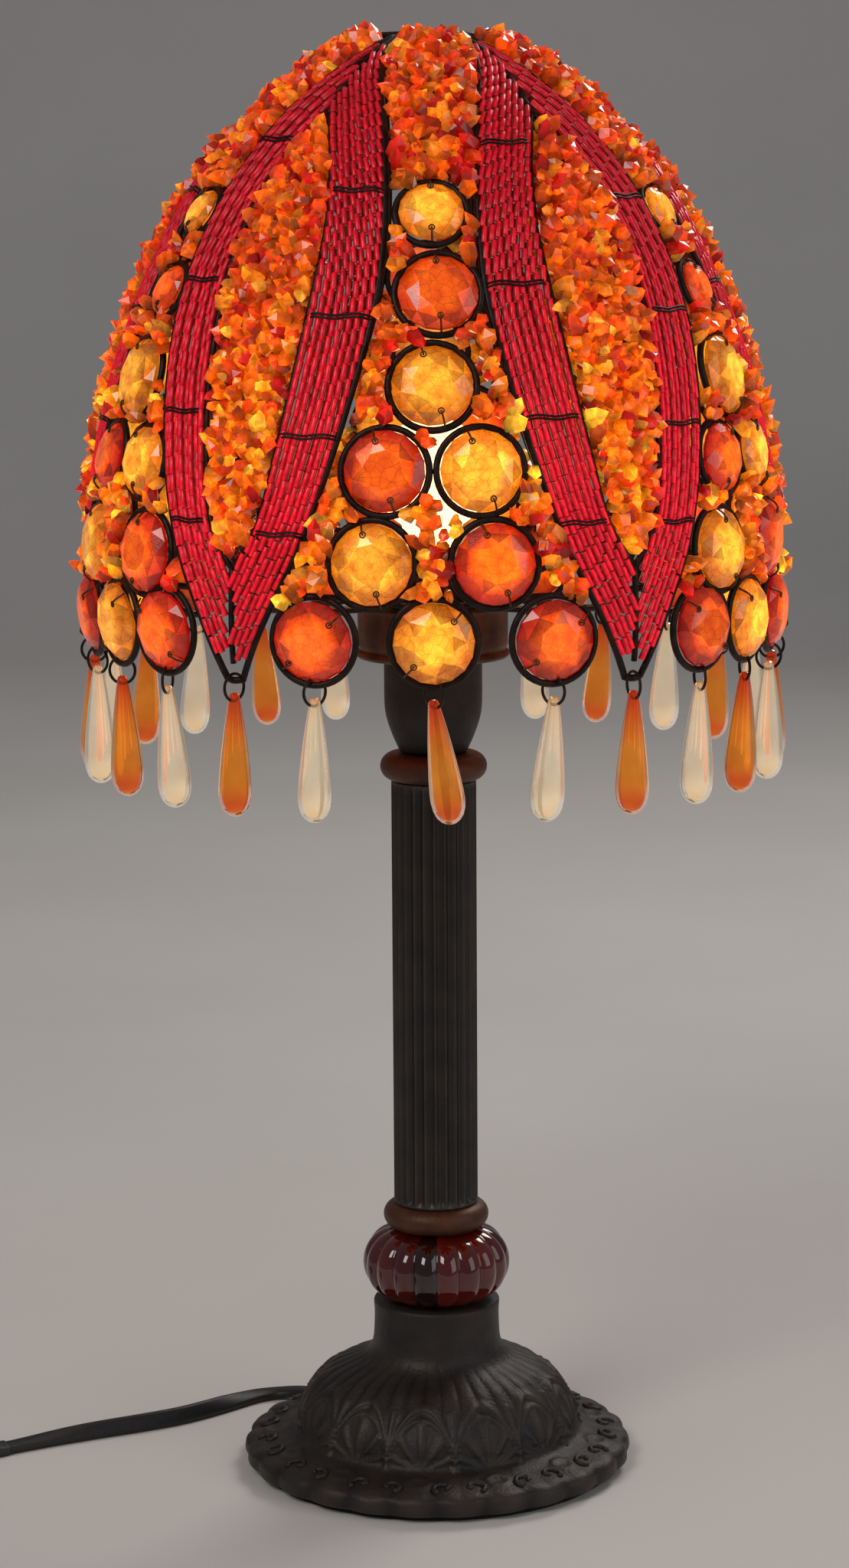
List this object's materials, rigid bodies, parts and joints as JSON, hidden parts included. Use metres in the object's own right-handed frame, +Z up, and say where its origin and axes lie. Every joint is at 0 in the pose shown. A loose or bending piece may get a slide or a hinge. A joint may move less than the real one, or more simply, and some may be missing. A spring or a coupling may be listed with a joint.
{
  "type": "table lamp",
  "caption": "Table lamp with a domed wire shade of strung beads and faceted discs, hanging glass drops, and a fluted column with a ribbed glass ball on a cast base",
  "frame": {"origin": "middle of the lamp's base on the surface it stands on, measured without the cord", "axes": "+Z up along the column, -Y towards the front panel of the shade, +X to the viewer's right"},
  "size_m": [0.4737, 0.2452, 0.5009],
  "materials": {
    "felt": "pressed felt",
    "black_cast": "satin black paint over a casting",
    "brass_fitting": "turned brass",
    "steel_pipe": "zinc plated thread",
    "red_glass": "ribbed pressed glass",
    "rust_finish": "rust brown antique finish",
    "bronze_finish": "antique bronze finish",
    "black_plastic": "moulded",
    "bright_cap": "plated bulb cap",
    "bulb_glass": "clear bulb glass",
    "black_rubber": "PVC flex",
    "black_wire": "black lacquered wire",
    "crimson_beads": "crimson bugle beads",
    "orange_beads": "orange and amber chips and faceted discs",
    "amber_drop": "polished amber glass",
    "pale_drop": "frosted pale glass"
  },
  "bodies": {
    "stand": {"felt_pad": "felt", "base_casting": "black_cast", "base_nut": "brass_fitting", "lamp_pipe": "steel_pipe", "glass_ball": "red_glass", "lower_collar": "rust_finish", "column": "black_cast", "upper_collar": "rust_finish", "socket_cup": "black_cast", "gallery_dish": "bronze_finish", "socket_body": "black_plastic", "socket_shell": "brass_fitting", "cord_grommet": "black_rubber", "cord_run": "black_rubber", "switch_case": "black_plastic", "cord_tail": "black_rubber", "cord_coil": "black_rubber", "cord_lead": "black_rubber", "plug": "black_plastic"},
    "bulb": {"bulb_cap": "bright_cap", "bulb_glass": "bulb_glass"},
    "shade": {"shade_frame": "black_wire", "fitter": "black_wire", "petal_beadwork_1": "crimson_beads", "petal_beadwork_2": "crimson_beads", "petal_beadwork_3": "crimson_beads", "petal_beadwork_4": "crimson_beads", "petal_beadwork_5": "crimson_beads", "petal_beadwork_6": "crimson_beads", "panel_beadwork_1": "orange_beads", "panel_beadwork_2": "orange_beads", "panel_beadwork_3": "orange_beads", "panel_beadwork_4": "orange_beads", "panel_beadwork_5": "orange_beads", "panel_beadwork_6": "orange_beads"},
    "rocker": {"switch_rocker": "black_plastic"},
    "drop_01_hung": {"drop_01": "amber_drop"},
    "drop_02_hung": {"drop_02": "pale_drop"},
    "drop_03_hung": {"drop_03": "amber_drop"},
    "drop_04_hung": {"drop_04": "pale_drop"},
    "drop_05_hung": {"drop_05": "amber_drop"},
    "drop_06_hung": {"drop_06": "pale_drop"},
    "drop_07_hung": {"drop_07": "amber_drop"},
    "drop_08_hung": {"drop_08": "pale_drop"},
    "drop_09_hung": {"drop_09": "amber_drop"},
    "drop_10_hung": {"drop_10": "pale_drop"},
    "drop_11_hung": {"drop_11": "amber_drop"},
    "drop_12_hung": {"drop_12": "pale_drop"},
    "drop_13_hung": {"drop_13": "amber_drop"},
    "drop_14_hung": {"drop_14": "pale_drop"},
    "drop_15_hung": {"drop_15": "amber_drop"},
    "drop_16_hung": {"drop_16": "pale_drop"},
    "drop_17_hung": {"drop_17": "amber_drop"},
    "drop_18_hung": {"drop_18": "pale_drop"},
    "drop_19_hung": {"drop_19": "amber_drop"},
    "drop_20_hung": {"drop_20": "pale_drop"},
    "drop_21_hung": {"drop_21": "amber_drop"},
    "drop_22_hung": {"drop_22": "pale_drop"},
    "drop_23_hung": {"drop_23": "amber_drop"},
    "drop_24_hung": {"drop_24": "pale_drop"}
  },
  "joints": [
    {"name": "shade_lift", "type": "slide", "parent": "stand", "child": "shade", "axis": [0, 0, 1], "range_m": [0, 0.15]},
    {"name": "bulb_turn", "type": "hinge", "parent": "stand", "child": "bulb", "pos_m": [0, 0, 0.31], "axis": [0, 0, 1], "range_deg": [0, 360]},
    {"name": "rocker_tilt", "type": "hinge", "parent": "stand", "child": "rocker", "pos_m": [-0.2009, -0.0208, 0.0154], "axis": [0.5076, -0.8616, 0], "range_deg": [0, 14]},
    {"name": "drop_01_swing", "type": "hinge", "parent": "shade", "child": "drop_01_hung", "pos_m": [-0.06375, 0.09816, 0.295], "axis": [-0.8387, -0.5446, 0], "range_deg": [-40, 40]},
    {"name": "drop_02_swing", "type": "hinge", "parent": "shade", "child": "drop_02_hung", "pos_m": [-0.08629, 0.07907, 0.295], "axis": [-0.6756, -0.7373, 0], "range_deg": [-40, 40]},
    {"name": "drop_03_swing", "type": "hinge", "parent": "shade", "child": "drop_03_hung", "pos_m": [-0.10286, 0.05585, 0.295], "axis": [-0.4772, -0.8788, 0], "range_deg": [-40, 40]},
    {"name": "drop_04_swing", "type": "hinge", "parent": "shade", "child": "drop_04_hung", "pos_m": [-0.11332, 0.02931, 0.295], "axis": [-0.2504, -0.9681, 0], "range_deg": [-40, 40]},
    {"name": "drop_05_swing", "type": "hinge", "parent": "shade", "child": "drop_05_hung", "pos_m": [-0.11704, 0, 0.295], "axis": [0, -1, 0], "range_deg": [-40, 40]},
    {"name": "drop_06_swing", "type": "hinge", "parent": "shade", "child": "drop_06_hung", "pos_m": [-0.11332, -0.02931, 0.295], "axis": [0.2504, -0.9681, 0], "range_deg": [-40, 40]},
    {"name": "drop_07_swing", "type": "hinge", "parent": "shade", "child": "drop_07_hung", "pos_m": [-0.10286, -0.05585, 0.295], "axis": [0.4772, -0.8788, 0], "range_deg": [-40, 40]},
    {"name": "drop_08_swing", "type": "hinge", "parent": "shade", "child": "drop_08_hung", "pos_m": [-0.08629, -0.07907, 0.295], "axis": [0.6756, -0.7373, 0], "range_deg": [-40, 40]},
    {"name": "drop_09_swing", "type": "hinge", "parent": "shade", "child": "drop_09_hung", "pos_m": [-0.06375, -0.09816, 0.295], "axis": [0.8387, -0.5446, 0], "range_deg": [-40, 40]},
    {"name": "drop_10_swing", "type": "hinge", "parent": "shade", "child": "drop_10_hung", "pos_m": [-0.03772, -0.1108, 0.295], "axis": [0.9466, -0.3223, 0], "range_deg": [-40, 40]},
    {"name": "drop_11_swing", "type": "hinge", "parent": "shade", "child": "drop_11_hung", "pos_m": [0, -0.11704, 0.295], "axis": [1, 0, 0], "range_deg": [-40, 40]},
    {"name": "drop_12_swing", "type": "hinge", "parent": "shade", "child": "drop_12_hung", "pos_m": [0.03772, -0.1108, 0.295], "axis": [0.9466, 0.3223, 0], "range_deg": [-40, 40]},
    {"name": "drop_13_swing", "type": "hinge", "parent": "shade", "child": "drop_13_hung", "pos_m": [0.06375, -0.09816, 0.295], "axis": [0.8387, 0.5446, 0], "range_deg": [-40, 40]},
    {"name": "drop_14_swing", "type": "hinge", "parent": "shade", "child": "drop_14_hung", "pos_m": [0.08629, -0.07907, 0.295], "axis": [0.6756, 0.7373, 0], "range_deg": [-40, 40]},
    {"name": "drop_15_swing", "type": "hinge", "parent": "shade", "child": "drop_15_hung", "pos_m": [0.10286, -0.05585, 0.295], "axis": [0.4772, 0.8788, 0], "range_deg": [-40, 40]},
    {"name": "drop_16_swing", "type": "hinge", "parent": "shade", "child": "drop_16_hung", "pos_m": [0.11332, -0.02931, 0.295], "axis": [0.2504, 0.9681, 0], "range_deg": [-40, 40]},
    {"name": "drop_17_swing", "type": "hinge", "parent": "shade", "child": "drop_17_hung", "pos_m": [0.11704, 0, 0.295], "axis": [0, 1, 0], "range_deg": [-40, 40]},
    {"name": "drop_18_swing", "type": "hinge", "parent": "shade", "child": "drop_18_hung", "pos_m": [0.11332, 0.02931, 0.295], "axis": [-0.2504, 0.9681, 0], "range_deg": [-40, 40]},
    {"name": "drop_19_swing", "type": "hinge", "parent": "shade", "child": "drop_19_hung", "pos_m": [0.10286, 0.05585, 0.295], "axis": [-0.4772, 0.8788, 0], "range_deg": [-40, 40]},
    {"name": "drop_20_swing", "type": "hinge", "parent": "shade", "child": "drop_20_hung", "pos_m": [0.08629, 0.07907, 0.295], "axis": [-0.6756, 0.7373, 0], "range_deg": [-40, 40]},
    {"name": "drop_21_swing", "type": "hinge", "parent": "shade", "child": "drop_21_hung", "pos_m": [0.06375, 0.09816, 0.295], "axis": [-0.8387, 0.5446, 0], "range_deg": [-40, 40]},
    {"name": "drop_22_swing", "type": "hinge", "parent": "shade", "child": "drop_22_hung", "pos_m": [0.03772, 0.1108, 0.295], "axis": [-0.9466, 0.3223, 0], "range_deg": [-40, 40]},
    {"name": "drop_23_swing", "type": "hinge", "parent": "shade", "child": "drop_23_hung", "pos_m": [0, 0.11704, 0.295], "axis": [-1, 0, 0], "range_deg": [-40, 40]},
    {"name": "drop_24_swing", "type": "hinge", "parent": "shade", "child": "drop_24_hung", "pos_m": [-0.03772, 0.1108, 0.295], "axis": [-0.9466, -0.3223, 0], "range_deg": [-40, 40]}
  ]
}
